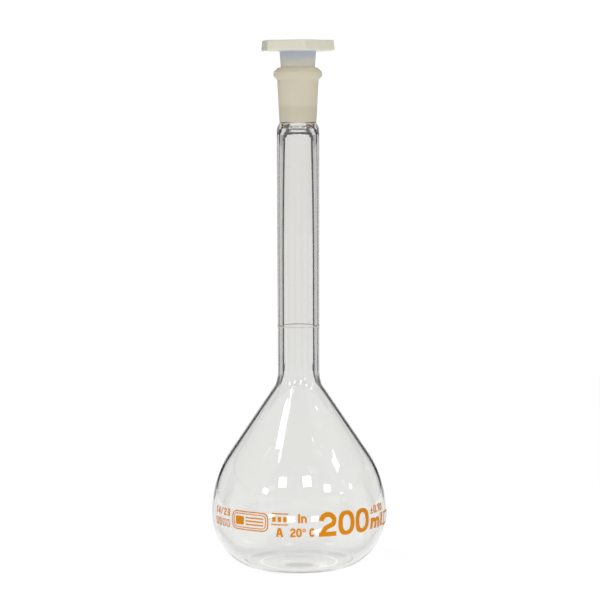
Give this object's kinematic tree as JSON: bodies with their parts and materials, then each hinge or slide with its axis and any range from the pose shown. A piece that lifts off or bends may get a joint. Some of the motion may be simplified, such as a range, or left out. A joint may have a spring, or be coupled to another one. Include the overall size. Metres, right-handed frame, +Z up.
{
  "type": "volumetric flask",
  "caption": "Pear-shaped glass volumetric flask with a long narrow neck, graduation ring, ground socket and a lift-out plastic plug stopper.",
  "frame": {"origin": "centre of the flask's base, on the surface it stands on", "axes": "+Z up along the flask's axis; the middle of the printed band faces -Y"},
  "size_m": [0.0746, 0.0747, 0.2236],
  "materials": {
    "clear_glass": "clear, fire-polished",
    "ground_glass": "finely ground inside, frosted look",
    "polyethylene": "natural milky polyethylene, satin",
    "orange_enamel": "fired enamel, glossy",
    "ring_enamel": "pale fired enamel"
  },
  "bodies": {
    "flask": {"bulb": "clear_glass", "neck_tube": "clear_glass", "ground_socket": "ground_glass", "graduation_ring": "ring_enamel", "capacity_print": "orange_enamel", "unit_print": "orange_enamel", "tolerance_print": "orange_enamel", "calibration_print": "orange_enamel", "temperature_print": "orange_enamel", "class_print": "orange_enamel", "approval_bars": "orange_enamel", "maker_panel": "orange_enamel", "joint_size_print": "orange_enamel", "batch_squares": "orange_enamel", "write_on_frame": "orange_enamel"},
    "stopper": {"stopper": "polyethylene"}
  },
  "joints": [
    {"name": "stopper_lift", "type": "slide", "parent": "flask", "child": "stopper", "axis": [0, 0, 1], "range_m": [0, 0.06]}
  ]
}
